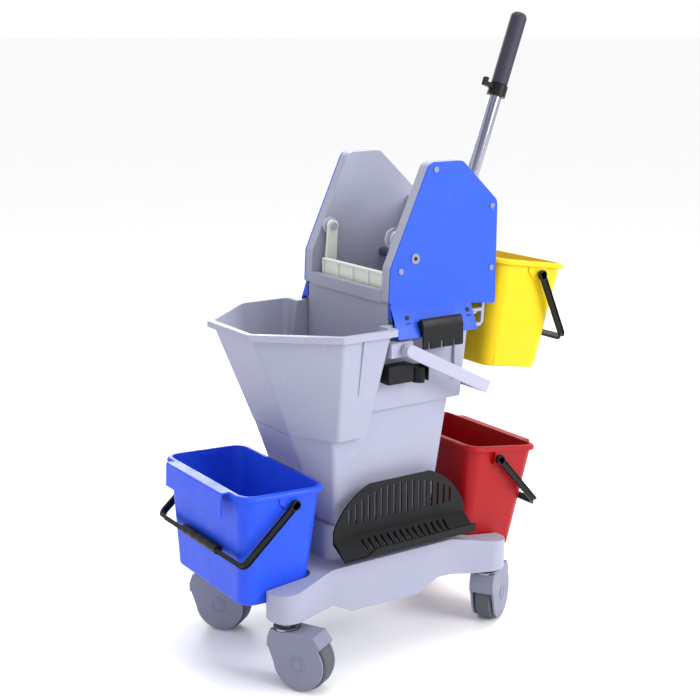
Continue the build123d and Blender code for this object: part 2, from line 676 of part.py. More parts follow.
def bucket_hanger():
    """Two side plates behind the press and the rail that the upper small bucket hooks on."""
    place = pail_place("yellow")
    wall = [place * Pos(-PAIL_X / 2 + PAIL_RIM, 0, -PAIL_RIM_H), place * Pos(-PAIL_BASE_X / 2, 0, -PAIL_H)]
    (x_top, z_top), (x_low, z_low) = ((p.position.X, p.position.Z) for p in wall)

    def wall_x(z):
        return x_low + (x_top - x_low) * (z - z_low) / (z_top - z_low) - 1.5

    top_x, top_z = REAR_WALL_TOP
    slope = (top_x - HOPPER_REAR) / (top_z - RIM_TOP - 4)

    def back_x(z):
        return HOPPER_REAR + slope * (z - RIM_TOP - 4)

    low, mid, high = HANGER_Z
    edge = HANGER_MARGIN
    left = BOX_REAR + RIM_OUT + 4
    y0, y1 = -PANEL_IN + 0.5, -PANEL_IN + 0.5 + HANGER_T
    plate = plate_xz([(left + edge, low), (wall_x(low) - edge, low), (wall_x(low + edge), low + edge),
                      (wall_x(high), high), (back_x(high), high), (back_x(mid), mid),
                      (left, mid - edge - 2), (left, low + edge)], y0, y1)
    for z0, z1 in HANGER_WINDOWS:
        window = [(left + edge, z0), (wall_x(z0) - edge, z0), (wall_x(z1) - edge, z1), (left + edge, z1)]
        plate -= plate_xz(window, y0 - 1, y1 + 1)
    hook_x = -PAIL_X / 2 - HOOK_GAP / 2 + 1
    rail = place * block(hook_x - HOOK_T, hook_x + HOOK_T, -PANEL_IN + 1, PANEL_IN - 1,
                         -HOOK_DROP + 4, -PAIL_RIM_H - 2)
    tie = block(left, left + 4, -PANEL_IN + 5, PANEL_IN - 5, mid - 8, mid + 4)
    return both_sides(plate) + rail + tie


# ---------------------------------------------------------------- press mechanism
def lever_place():
    x, z = LEVER_PIVOT
    return Pos(x, LEVER_Y, z) * Rot(0, LEVER_LEAN, 0)


def lever_tube():
    start = SHAFT_R + TUBE_SEAT
    length = LEVER_LEN - GRIP_CAP - start
    tube = Cylinder(LEVER_TUBE_R, length) - Cylinder(LEVER_TUBE_R - LEVER_WALL, length + 2)
    return lever_place() * Pos(0, 0, start + length / 2) * tube


def lever_grip():
    grip = Cylinder(GRIP_R, GRIP_LEN)
    grip = fillet(grip.edges().group_by(Axis.Z)[-1], GRIP_ROUND)
    grip -= Pos(0, 0, -GRIP_CAP) * Cylinder(LEVER_TUBE_R, GRIP_LEN)
    return lever_place() * Pos(0, 0, LEVER_LEN - GRIP_LEN / 2) * grip


def lever_collar():
    middle = LEVER_LEN - GRIP_LEN - COLLAR_H / 2 - 1
    collar = Cylinder(COLLAR_R, COLLAR_H) - Cylinder(LEVER_TUBE_R, COLLAR_H + 2)
    hook = Pos(-COLLAR_R - 6, 0, 3) * Box(COLLAR_R + 3, 9, 7)
    hook += Pos(-COLLAR_R - 13, 0, 6) * Box(5, 9, 13)
    hook -= Cylinder(LEVER_TUBE_R, 2 * COLLAR_H)
    return lever_place() * Pos(0, 0, middle) * (collar + hook)


def lever_socket():
    sleeve = Pos(0, 0, SOCKET_LEN / 2) * Cylinder(LEVER_TUBE_R + SOCKET_WALL, SOCKET_LEN)
    body = sleeve + Rot(90, 0, 0) * Cylinder(SOCKET_HUB_R, SOCKET_HUB_W)
    body -= Rot(90, 0, 0) * Cylinder(SHAFT_R, 2 * SOCKET_HUB_W)
    body -= Pos(0, 0, SHAFT_R + TUBE_SEAT + SOCKET_LEN) * Cylinder(LEVER_TUBE_R, 2 * SOCKET_LEN)
    return lever_place() * body


def lever_shaft():
    x, z = LEVER_PIVOT
    end = PANEL_IN + PANEL_SKIN + 1.5
    return rod_y(x, z, SHAFT_R, -end, end)


def crank_pin(pivot, radius, angle):
    """The pin of a crank that hangs below its pivot, angle degrees towards the front."""
    return pivot[0] - radius * sin(radians(angle)), pivot[1] - radius * cos(radians(angle))


def link(p0, p1, width, y0, y1):
    dx, dz = p1[0] - p0[0], p1[1] - p0[1]
    span = (dx ** 2 + dz ** 2) ** 0.5
    nx, nz = -dz / span * width / 2, dx / span * width / 2
    bar = plate_xz([(p0[0] + nx, p0[1] + nz), (p1[0] + nx, p1[1] + nz), (p1[0] - nx, p1[1] - nz),
                    (p0[0] - nx, p0[1] - nz)], y0, y1)
    return bar + rod_y(*p0, width / 2, y0, y1) + rod_y(*p1, width / 2, y0, y1)


CRANK_Y = PANEL_IN + PANEL_SKIN + 1.5
ROD_Y = CRANK_Y + CRANK_T + 1.0
JAW_CRANK = LEVER_CRANK * sin(radians(LEVER_TRAVEL / 2)) / sin(radians(JAW_TRAVEL / 2))
LEVER_PIN = crank_pin(LEVER_PIVOT, LEVER_CRANK, LEVER_TRAVEL / 2)
JAW_PIN = crank_pin(JAW_PIVOT, JAW_CRANK, JAW_TRAVEL / 2)


def crank(pivot, pin):
    arm = link(pivot, pin, ROD_W, -CRANK_Y - CRANK_T, -CRANK_Y)
    return arm + rod_y(*pin, ROD_PIN_R, -ROD_Y - ROD_T - 0.8, -CRANK_Y)


def lever_cranks():
    return group([both_sides(crank(LEVER_PIVOT, LEVER_PIN))])


def jaw_cranks():
    return group([both_sides(crank(JAW_PIVOT, JAW_PIN))])


def connecting_rod():
    rod = link(LEVER_PIN, JAW_PIN, ROD_W, -ROD_Y - ROD_T, -ROD_Y)
    rod += rod_y(*JAW_PIN, ROD_PIN_R + OPEN_PIVOT_PLAY + 2.5, -ROD_Y - ROD_T, -ROD_Y)
    rod -= rod_y(*LEVER_PIN, ROD_PIN_R + RUN, -ROD_Y - ROD_T - 5, -ROD_Y + 5)
    rod -= rod_y(*JAW_PIN, ROD_PIN_R + OPEN_PIVOT_PLAY, -ROD_Y - ROD_T - 5, -ROD_Y + 5)
    return rod


def jaw_hubs():
    """The pivots of the jaw: the near one has a round cap, the far one ends just past its arm."""
    x, z = JAW_PIVOT
    hub = rod_y(x, z, JAW_HUB_R - 3, -PANEL_IN + 0.5, -JAW_HALF_W - 4)
    hub += rod_y(x, z, JAW_SHAFT_R, -CRANK_Y, -JAW_CAP_Y - 1)
    cap = rod_y(x, z, JAW_HUB_R, -JAW_HALF_W + 1, -JAW_CAP_Y)
    cap = fillet(cap.edges().filter_by(GeomType.CIRCLE).sort_by(Axis.Y)[-1], 3)
    return group([hub + cap, mirror(hub, about=Plane.XZ)])


def press_jaw():
    x0, x1 = JAW_X + 2, JAW_X + 2 + JAW_T
    jaw = block(x0, x1, -JAW_HALF_W, JAW_HALF_W, JAW_LOW, JAW_TOP)
    half_rib = JAW_RIB_W / 2
    pitch = (2 * JAW_HALF_W - JAW_RIB_W) / (JAW_RIBS - 1)
    for i in range(JAW_RIBS):
        y = -JAW_HALF_W + half_rib + i * pitch
        jaw += block(JAW_X - half_rib, x0, y - half_rib, y + half_rib, JAW_LOW, JAW_TOP)
    jaw += block(JAW_X - half_rib, x0, -JAW_HALF_W, JAW_HALF_W, JAW_TOP - JAW_RIB_W, JAW_TOP)
    px, pz = JAW_PIVOT
    outside = -JAW_HALF_W - JAW_ARM_T
    arm = plate_xz([(x0, JAW_TOP - 40), (x1 + 20, JAW_TOP - 4), (px + JAW_EYE_R - 1, pz),
                    (px - JAW_EYE_R + 1, pz)], outside, -JAW_HALF_W + 1)
    arm += rod_y(px, pz, JAW_EYE_R, outside, -JAW_HALF_W + 1)
    arm -= rod_y(px, pz, JAW_SHAFT_R, outside - 2, -JAW_HALF_W + 3)
    return jaw + both_sides(arm)


# ---------------------------------------------------------------- small buckets
def pail():
    """A small bucket, its rim centre at the origin and its hook towards -X."""
    top_x, top_y = PAIL_X - 2 * PAIL_RIM, PAIL_Y - 2 * PAIL_RIM
    body = loft([Pos(0, 0, -PAIL_H) * RectangleRounded(PAIL_BASE_X, PAIL_BASE_Y, PAIL_CORNER - 4),
                 Pos(0, 0, -1) * RectangleRounded(top_x, top_y, PAIL_CORNER)])
    body += extrude(Pos(0, 0, -PAIL_RIM_H) * RectangleRounded(PAIL_X, PAIL_Y, PAIL_CORNER + PAIL_RIM),
                    amount=PAIL_RIM_H)
    t = PAIL_WALL
    inside_base = RectangleRounded(PAIL_BASE_X - 2 * t, PAIL_BASE_Y - 2 * t, PAIL_CORNER - 6)
    inside_top = RectangleRounded(top_x - 2 * t, top_y - 2 * t, PAIL_CORNER - 2)
    body -= loft([Pos(0, 0, -PAIL_H + t) * inside_base, Pos(0, 0, 1) * inside_top])
    edge = -PAIL_X / 2
    hook = block(edge - HOOK_GAP + 1, edge + 4, -HOOK_HALF, HOOK_HALF, -HOOK_T, 0)
    hook += block(edge - HOOK_GAP + 1, edge - HOOK_GAP + 1 + HOOK_T, -HOOK_HALF, HOOK_HALF, -HOOK_DROP, 0)
    body += hook
    boss_in = PAIL_Y / 2 - PAIL_RIM - PAIL_WALL - 2
    boss = rod_y(PAIL_PIVOT_X, PAIL_PIVOT_Z, 11, -PAIL_Y / 2 - 0.5, -boss_in - 1)
    body += both_sides(boss)
    body -= both_sides(rod_y(PAIL_PIVOT_X, PAIL_PIVOT_Z, PAIL_PIN_R + RUN, -PAIL_Y, -boss_in - 2.2))
    return body


def pail_bail(turn):
    """The swinging handle, hanging turn degrees from straight down, about its pivot line."""
    y_in = PAIL_Y / 2 + 1.0
    y_out = y_in + PAIL_BAIL_T
    length = PAIL_BAIL_LEN
    half = PAIL_BAIL_W / 2
    arm = block(-half, half, -y_out, -y_in, -length, 0) + rod_y(0, 0, 8, -y_out, -y_in)
    arm += rod_y(0, 0, PAIL_PIN_R, -y_in - 0.5, -PAIL_Y / 2 + PAIL_RIM + PAIL_WALL - 2)
    bail = both_sides(arm) + block(-half, half, -y_out, y_out, -length, -length + 9)
    grip = Pos(0, 0, -length + half) * Rot(90, 0, 0) * Cylinder(PAIL_GRIP_R, PAIL_GRIP_LEN)
    return Rot(0, turn, 0) * (bail + grip)


def small_buckets():
    body = pail()
    for name, (x, z, lean, turned, angle) in PAILS.items():
        place = pail_place(name)
        save(f"bucket_{name}", place * body)
        pivot = (place * Pos(PAIL_PIVOT_X, 0, PAIL_PIVOT_Z)).position
        turn = angle if x < 0 else -angle
        save(f"bail_{name}", Pos(pivot.X, 0, pivot.Z) * pail_bail(turn))
        print(f"bail_{name} pivot", round(pivot.X, 3), round(pivot.Z, 3))


# ---------------------------------------------------------------- the whole cart
def main():
    save("chassis", chassis())
    save("caster_stems", caster_stems())
    casters()
    save("main_bucket", main_bucket())
    save("bail_pins", bail_pins())
    save("bucket_bail", bucket_bail())
    save("mop_clip_bracket", mop_clip_bracket())
    save("mop_clip", mop_clip())
    save("side_tray", side_tray())
    save("press_body", press_body())
    near = cover()
    save("cover_left", near)
    save("cover_right", mirror(near, about=Plane.XZ))
    save("cover_screws", cover_screws())
    save("tie_bolts", tie_bolts())
    save("press_clips", press_clips())
    save("bucket_hanger", bucket_hanger())
    save("lever_tube", lever_tube())
    save("lever_grip", lever_grip())
    save("lever_collar", lever_collar())
    save("lever_socket", lever_socket())
    save("lever_shaft", lever_shaft())
    save("lever_cranks", lever_cranks())
    save("jaw_hubs", jaw_hubs())
    save("jaw_cranks", jaw_cranks())
    save("press_jaw", press_jaw())
    rod = connecting_rod()
    save("rod_left", rod)
    save("rod_right", mirror(rod, about=Plane.XZ))
    small_buckets()
    print("lever pin", LEVER_PIN, "jaw pin", JAW_PIN, "jaw crank", JAW_CRANK)


main()
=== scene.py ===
from contextlib import contextmanager
from math import pi, radians

import bmesh
import bpy
from mathutils import Matrix, Vector


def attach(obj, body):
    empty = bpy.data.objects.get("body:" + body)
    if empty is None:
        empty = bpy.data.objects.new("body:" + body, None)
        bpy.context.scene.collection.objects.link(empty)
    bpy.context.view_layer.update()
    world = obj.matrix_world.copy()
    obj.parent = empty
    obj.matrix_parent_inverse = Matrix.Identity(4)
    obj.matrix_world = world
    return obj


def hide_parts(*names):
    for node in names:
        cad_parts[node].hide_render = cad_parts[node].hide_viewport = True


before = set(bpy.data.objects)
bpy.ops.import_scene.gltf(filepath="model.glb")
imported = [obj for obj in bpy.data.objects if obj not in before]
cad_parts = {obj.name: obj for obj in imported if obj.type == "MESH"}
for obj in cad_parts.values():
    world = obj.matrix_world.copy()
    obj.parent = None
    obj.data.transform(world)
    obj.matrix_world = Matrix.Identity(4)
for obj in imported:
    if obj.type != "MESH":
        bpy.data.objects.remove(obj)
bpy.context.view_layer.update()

# A housekeeping cart. Lengths in the functions below are millimetres unless they say otherwise,
# and MM turns them to Blender's metres. +X is the rear, -X the front and -Y the near side.
MM = 0.001


# ---------------------------------------------------------------- modelling helpers
def mm(*values):
    return Vector(values) * MM


def only(piece):
    """Makes one piece the only selected one."""
    bpy.ops.object.select_all(action="DESELECT")
    piece.select_set(True)
    bpy.context.view_layer.objects.active = piece


@contextmanager
def editing(piece):
    only(piece)
    bpy.ops.object.mode_set(mode="EDIT")
    yield
    bpy.ops.object.mode_set(mode="OBJECT")


def choose(kind, test):
    """Selects the faces, edges or vertices whose middle (mm) and normal pass the test."""
    bpy.ops.mesh.select_mode(type=kind)
    bpy.ops.mesh.select_all(action="DESELECT")
    grid = bmesh.from_edit_mesh(bpy.context.object.data)
    if kind == "FACE":
        for face in grid.faces:
            face.select_set(bool(test(face.calc_center_median() / MM, face.normal)))
    elif kind == "EDGE":
        for edge in grid.edges:
            a, b = edge.verts[0].co, edge.verts[1].co
            edge.select_set(bool(test((a + b) / 2 / MM, (b - a).normalized())))
    else:
        for vert in grid.verts:
            vert.select_set(bool(test(vert.co / MM, vert.normal)))
    grid.select_flush_mode()
    bmesh.update_edit_mesh(bpy.context.object.data)


def move(x=0.0, y=0.0, z=0.0):
    bpy.ops.transform.translate(value=mm(x, y, z))


def push(x=0.0, y=0.0, z=0.0):
    """Extrudes the selected faces together and moves them."""
    bpy.ops.mesh.extrude_region_move(TRANSFORM_OT_translate={"value": mm(x, y, z)})


def grow(x, y, z, centre=(0.0, 0.0, 0.0)):
    bpy.ops.transform.resize(value=(x, y, z), center_override=mm(*centre))


def settle(piece, name):
    """Names a new piece and puts its place into its mesh."""
    piece.name = name
    piece.data.name = name
    only(piece)
    bpy.ops.object.transform_apply(location=True, rotation=True, scale=True)
    return piece


def start_box(name, low, high):
    bpy.ops.object.select_all(action="DESELECT")
    low, high = Vector(low), Vector(high)
    bpy.ops.mesh.primitive_cube_add(size=1, location=(low + high) / 2 * MM)
    bpy.context.object.scale = (high - low) * MM
    return settle(bpy.context.object, name)


def start_rod(name, centre, radius, length, axis="Y", sides=48):
    turn = {"X": (0, pi / 2, 0), "Y": (pi / 2, 0, 0), "Z": (0, 0, 0)}[axis]
    bpy.ops.object.select_all(action="DESELECT")
    bpy.ops.mesh.primitive_cylinder_add(vertices=sides, radius=radius * MM, depth=length * MM,
                                        location=mm(*centre), rotation=turn)
    return settle(bpy.context.object, name)


def finish_with(piece, kind, **settings):
    """Adds a modifier and applies it."""
    only(piece)
    made = piece.modifiers.new(kind.lower(), kind)
    for name, value in settings.items():
        setattr(made, name, value)
    bpy.ops.object.modifier_apply(modifier=made.name)
    return piece


def round_edges(piece, radius, segments=3, angle=30):
    return finish_with(piece, "BEVEL", width=radius * MM, segments=segments, limit_method="ANGLE",
                       angle_limit=radians(angle), use_clamp_overlap=True)


def smooth(piece, angle=35):
    """Smooth shading that leaves the large flat faces flat."""
    only(piece)
    bpy.ops.object.shade_smooth_by_angle(angle=radians(angle))
    return finish_with(piece, "WEIGHTED_NORMAL", keep_sharp=True)


def outward(piece):
    """Merges what meets and turns every face outwards."""
    with editing(piece):
        bpy.ops.mesh.select_all(action="SELECT")
        bpy.ops.mesh.remove_doubles(threshold=0.01 * MM)
        bpy.ops.mesh.normals_make_consistent(inside=False)
    return piece


def joined(name, pieces):
    bpy.ops.object.select_all(action="DESELECT")
    for piece in pieces:
        piece.select_set(True)
    bpy.context.view_layer.objects.active = pieces[0]
    bpy.ops.object.join()
    return settle(bpy.context.object, name)


def copied(piece, name, matrix):
    """A copy with its own mesh, put in place by a matrix in metres."""
    made = bpy.data.objects.new(name, piece.data.copy())
    made.data.name = name
    bpy.context.scene.collection.objects.link(made)
    made.data.transform(matrix)
    made.data.update()
    return made


def removed(piece):
    bpy.data.objects.remove(piece)


def moulding(node, name, radius, segments=3, angle=30):
    """A design node's form with its sharp edges rounded, as they come out of a mould."""
    piece = bpy.data.objects.new(name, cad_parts[node].data.copy())
    piece.data.name = name
    piece.data.materials.clear()
    bpy.context.scene.collection.objects.link(piece)
    only(piece)
    if piece.data.has_custom_normals:
        bpy.ops.mesh.customdata_custom_splitnormals_clear()
    with editing(piece):
        bpy.ops.mesh.select_all(action="SELECT")
        bpy.ops.mesh.remove_doubles(threshold=0.01 * MM)
        bpy.ops.mesh.dissolve_limited(angle_limit=radians(0.8))
    round_edges(piece, radius, segments, angle)
    return smooth(piece)


def fit(piece, body, slot, material, *nodes):
    """Gives a finished piece its finish, its body and the design nodes that it stands for."""
    piece.data.materials.clear()
    piece.data.materials.append(material)
    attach(piece, body)
    if nodes:
        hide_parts(*nodes)
    return piece


# ---------------------------------------------------------------- materials
def linear(hex_colour):
    """An sRGB hex colour as linear red, green, blue and alpha."""
    channels = [int(hex_colour[i:i + 2], 16) / 255 for i in (1, 3, 5)]
    return [c / 12.92 if c <= 0.04045 else ((c + 0.055) / 1.055) ** 2.4 for c in channels] + [1.0]


def add_node(tree, kind, settings=None, inputs=None):
    """Adds a shader node with its settings; an input is a value or the socket that feeds it."""
    made = tree.nodes.new(kind)
    for name, value in (settings or {}).items():
        setattr(made, name, value)
    for name, value in (inputs or {}).items():
        if isinstance(value, bpy.types.NodeSocket):
            tree.links.new(value, made.inputs[name])
        else:
            made.inputs[name].default_value = value
    return made


def per_metre(size):
    """The texture scale at which one feature is size millimetres long."""
    return 1 / (size * MM)


def new_material(name):
    made = bpy.data.materials.new(name)
    made.use_nodes = True
    tree = made.node_tree
    return made, tree, tree.nodes["Principled BSDF"]


def moulded_polypropylene(name, colour, deep, worn, roughness):
    """Injection-moulded polypropylene: a waxy satin with cloudy flow marks and faint pale scuffs."""
    flow_mark = 110    # mm, the clouds that melt flow leaves
    shine_patch = 32   # mm, patches of more and less polish
    scuff = 14         # mm, rubbed patches from handling
    mould_grain = 0.9  # mm, spark-eroded grain; real grain is about 0.2 mm, too fine to show
    material, tree, shader = new_material(name)
    place = add_node(tree, "ShaderNodeTexCoord").outputs["Object"]
    flow = add_node(tree, "ShaderNodeTexNoise", None,
                    {"Vector": place, "Scale": per_metre(flow_mark), "Detail": 3.0, "Distortion": 0.6})
    base = add_node(tree, "ShaderNodeMix", {"data_type": "RGBA"}, {"Factor": flow.outputs["Fac"]})
    base.inputs["A"].default_value = linear(colour)
    base.inputs["B"].default_value = linear(deep)
    rubs = add_node(tree, "ShaderNodeTexNoise", None,
                    {"Vector": place, "Scale": per_metre(scuff), "Detail": 6.0, "Roughness": 0.7})
    amount = add_node(tree, "ShaderNodeMapRange", None,
                      {"Value": rubs.outputs["Fac"], "From Min": 0.58, "From Max": 0.78,
                       "To Min": 0.0, "To Max": 0.3})
    rubbed = add_node(tree, "ShaderNodeMix", {"data_type": "RGBA"}, {"Factor": amount.outputs["Result"]})
    tree.links.new(base.outputs["Result"], rubbed.inputs["A"])
    rubbed.inputs["B"].default_value = linear(worn)
    tree.links.new(rubbed.outputs["Result"], shader.inputs["Base Color"])
    patches = add_node(tree, "ShaderNodeTexNoise", None,
                       {"Vector": place, "Scale": per_metre(shine_patch), "Detail": 2.0})
    polish = add_node(tree, "ShaderNodeMapRange", None,
                      {"Value": patches.outputs["Fac"], "From Min": 0.3, "From Max": 0.7,
                       "To Min": roughness - 0.05, "To Max": roughness + 0.07})
    tree.links.new(polish.outputs["Result"], shader.inputs["Roughness"])
    grain = add_node(tree, "ShaderNodeTexNoise", None,
                     {"Vector": place, "Scale": per_metre(mould_grain), "Detail": 2.0})
    bump = add_node(tree, "ShaderNodeBump", None,
                    {"Height": grain.outputs["Fac"], "Strength": 0.10, "Distance": 0.2 * MM})
    tree.links.new(bump.outputs["Normal"], shader.inputs["Normal"])
    shader.inputs["IOR"].default_value = 1.49
    shader.inputs["Specular IOR Level"].default_value = 0.22
    return material


def polished_chrome():
    """Chrome-plated steel tube: a mirror with drawn lines along it in its roughness, and painted
    reflection stripes with a painted violet reflection in its colour.
    """
    line = 5.0    # mm between the drawn lines, which are also the painted reflection stripes
    stretch = 60  # how much longer than wide a line is
    lean = 19.8   # degrees, the lean of the lever that the lines follow
    material, tree, shader = new_material("chrome_plate")
    place = add_node(tree, "ShaderNodeTexCoord").outputs["Object"]
    upright = add_node(tree, "ShaderNodeMapping", None,
                       {"Vector": place, "Rotation": (0.0, -radians(lean), 0.0)})
    along = add_node(tree, "ShaderNodeMapping", None,
                     {"Vector": upright.outputs["Vector"], "Scale": (1.0, 1.0, 1 / stretch)})
    drawn_lines_and_reflections = add_node(tree, "ShaderNodeTexNoise", None,
                     {"Vector": along.outputs["Vector"], "Scale": per_metre(line), "Detail": 2.0})
    rough = add_node(tree, "ShaderNodeMapRange", None,
                     {"Value": drawn_lines_and_reflections.outputs["Fac"], "To Min": 0.10, "To Max": 0.24})
    tree.links.new(rough.outputs["Result"], shader.inputs["Roughness"])
    # The colour swings from dark violet-grey to pale grey along the same lines: painted reflection
    # stripes and a painted violet reflection, not the colour of chrome.
    painted_reflection_stripes = add_node(tree, "ShaderNodeMapRange", None,
                    {"Value": drawn_lines_and_reflections.outputs["Fac"], "From Min": 0.38, "From Max": 0.62})
    base = add_node(tree, "ShaderNodeMix", {"data_type": "RGBA"}, {"Factor": painted_reflection_stripes.outputs["Result"]})
    base.inputs["A"].default_value = linear("#6E7086")
    base.inputs["B"].default_value = linear("#C4C5D2")
    tree.links.new(base.outputs["Result"], shader.inputs["Base Color"])
    shader.inputs["Metallic"].default_value = 1.0
    return material


def zinc_plate():
    """Zinc-plated steel: a cool grey metal with faint mottled spangle."""
    spangle = 4.0  # mm, the size of one crystal patch
    material, tree, shader = new_material("zinc_plate")
    place = add_node(tree, "ShaderNodeTexCoord").outputs["Object"]
    mottle = add_node(tree, "ShaderNodeTexVoronoi", None, {"Vector": place, "Scale": per_metre(spangle)})
    shade = add_node(tree, "ShaderNodeMapRange", None,
                     {"Value": mottle.outputs["Distance"], "To Min": 0.26, "To Max": 0.42})
    tree.links.new(shade.outputs["Result"], shader.inputs["Roughness"])
    shader.inputs["Base Color"].default_value = linear("#8A8C9C")
    shader.inputs["Metallic"].default_value = 1.0
    return material


def soft_rubber(name, colour, deep, roughness):
    """Moulded rubber: dull, slightly dusty, with a fine pebbled skin."""
    dust = 14      # mm, dusty patches
    pebble = 1.1   # mm, skin texture, drawn coarser than the real 0.3 mm
    material, tree, shader = new_material(name)
    place = add_node(tree, "ShaderNodeTexCoord").outputs["Object"]
    dusty = add_node(tree, "ShaderNodeTexNoise", None,
                     {"Vector": place, "Scale": per_metre(dust), "Detail": 4.0})
    base = add_node(tree, "ShaderNodeMix", {"data_type": "RGBA"}, {"Factor": dusty.outputs["Fac"]})
    base.inputs["A"].default_value = linear(colour)
    base.inputs["B"].default_value = linear(deep)
    tree.links.new(base.outputs["Result"], shader.inputs["Base Color"])
    skin = add_node(tree, "ShaderNodeTexVoronoi", None, {"Vector": place, "Scale": per_metre(pebble)})
    bump = add_node(tree, "ShaderNodeBump", None,
                    {"Height": skin.outputs["Distance"], "Strength": 0.25, "Distance": 0.2 * MM})
    tree.links.new(bump.outputs["Normal"], shader.inputs["Normal"])
    shader.inputs["Roughness"].default_value = roughness
    return material


def painted_floor():
    """A plain matt floor, with the faintest unevenness of a rolled coat."""
    roll_mark = 300  # mm
    material, tree, shader = new_material("floor_paint")
    place = add_node(tree, "ShaderNodeTexCoord").outputs["Object"]
    marks = add_node(tree, "ShaderNodeTexNoise", None, {"Vector": place, "Scale": per_metre(roll_mark)})
    base = add_node(tree, "ShaderNodeMix", {"data_type": "RGBA"}, {"Factor": marks.outputs["Fac"]})
    base.inputs["A"].default_value = linear("#FBFBFC")
    base.inputs["B"].default_value = linear("#F8F8FA")
    tree.links.new(base.outputs["Result"], shader.inputs["Base Color"])
    shader.inputs["Roughness"].default_value = 0.8
    return material


grey_pp = moulded_polypropylene("grey_polypropylene", "#9EA0B3", "#9698AD", "#B4B5C6", 0.46)
light_pp = moulded_polypropylene("light_polypropylene", "#A6A8BA", "#9EA0B4", "#BDBECD", 0.42)
caster_pp = moulded_polypropylene("caster_polypropylene", "#7F8195", "#777A8E", "#989AAB", 0.48)
cover_pp = moulded_polypropylene("cover_blue_polypropylene", "#2B54D0", "#274EC6", "#5277E2", 0.42)
blue_pp = moulded_polypropylene("blue_polypropylene", "#2450E0", "#2049D6", "#466EE8", 0.36)
red_pp = moulded_polypropylene("red_polypropylene", "#9E0A12", "#90070E", "#B3242C", 0.36)
yellow_pp = moulded_polypropylene("yellow_polypropylene", "#DEC012", "#D6B40B", "#E8D24A", 0.36)
black_pp = moulded_polypropylene("black_polypropylene", "#0E1013", "#0A0B0E", "#22252A", 0.42)
white_pp = moulded_polypropylene("white_polypropylene", "#E2E4DB", "#DADCD3", "#EDEFE8", 0.42)
grip_rubber = soft_rubber("grip_rubber", "#262539", "#1E1D2E", 0.62)
tyre_rubber = soft_rubber("tyre_rubber", "#54565C", "#46484E", 0.75)
chrome = polished_chrome()
zinc = zinc_plate()


# ---------------------------------------------------------------- pieces with moulded edges
MOULDINGS = (
    # node, radius of its edges, segments, body, slot, material
    ("chassis", 4.0, 3, "chassis", "grey_plastic", grey_pp),
    ("main_bucket", 2.4, 3, "main_bucket", "grey_plastic", grey_pp),
    ("press_body", 1.5, 2, "press", "grey_plastic", grey_pp),
    ("cover_left", 1.0, 2, "press", "cover_blue", cover_pp),
    ("cover_right", 1.0, 2, "press", "cover_blue", cover_pp),
    ("press_clips", 1.2, 3, "press", "black_plastic", black_pp),
    ("bucket_hanger", 1.2, 2, "press", "light_plastic", light_pp),
    ("side_tray", 0.7, 2, "side_tray", "black_plastic", black_pp),
    ("bucket_bail", 1.8, 3, "main_handle", "light_plastic", light_pp),
    ("bail_pins", 0.8, 2, "main_bucket", "light_plastic", light_pp),
    ("mop_clip_bracket", 1.5, 2, "main_bucket", "black_plastic", black_pp),
    ("mop_clip", 0.9, 2, "main_bucket", "black_plastic", black_pp),
    ("press_jaw", 0.8, 2, "jaw", "white_plastic", white_pp),
    ("jaw_hubs", 1.0, 2, "jaw", "light_plastic", light_pp),
    ("jaw_cranks", 0.4, 2, "jaw", "zinc_steel", zinc),
    ("lever_collar", 1.2, 3, "lever", "black_plastic", black_pp),
    ("lever_grip", 1.0, 2, "lever", "grip_black", grip_rubber),
    ("lever_socket", 1.2, 3, "lever", "black_plastic", black_pp),
    ("lever_tube", 0.3, 2, "lever", "chrome_steel", chrome),
    ("lever_shaft", 0.4, 2, "lever", "zinc_steel", zinc),
    ("lever_cranks", 0.4, 2, "lever", "zinc_steel", zinc),
    ("rod_left", 0.4, 2, "link_left", "zinc_steel", zinc),
    ("rod_right", 0.4, 2, "link_right", "zinc_steel", zinc),
    ("cover_screws", 0.5, 2, "press", "zinc_steel", zinc),
    ("tie_bolts", 0.5, 2, "press", "zinc_steel", zinc),
    ("caster_stems", 0.5, 2, "chassis", "zinc_steel", zinc),
)


def make_mouldings():
    for node, radius, segments, body, slot, material in MOULDINGS:
        piece = moulding(node, node + "_finished", radius, segments)
        fit(piece, body, slot, material, node)


# ---------------------------------------------------------------- small buckets
PAIL_TOP = (138, 250)       # mm, outside of the body under the rim
PAIL_BASE = (114, 222)
PAIL_RIM = (142, 254)       # before the wall gets its thickness, which adds a wall all round
PAIL_HEIGHT = 176
PAIL_WALL = 3
PAIL_CORNER = 22
RIM_DROP = 8
HOOK = {"out": -87, "thick": 3, "half": 88, "drop": 38}
PIVOT = Vector((14, 0, -20))
BOSS_HALF = 9


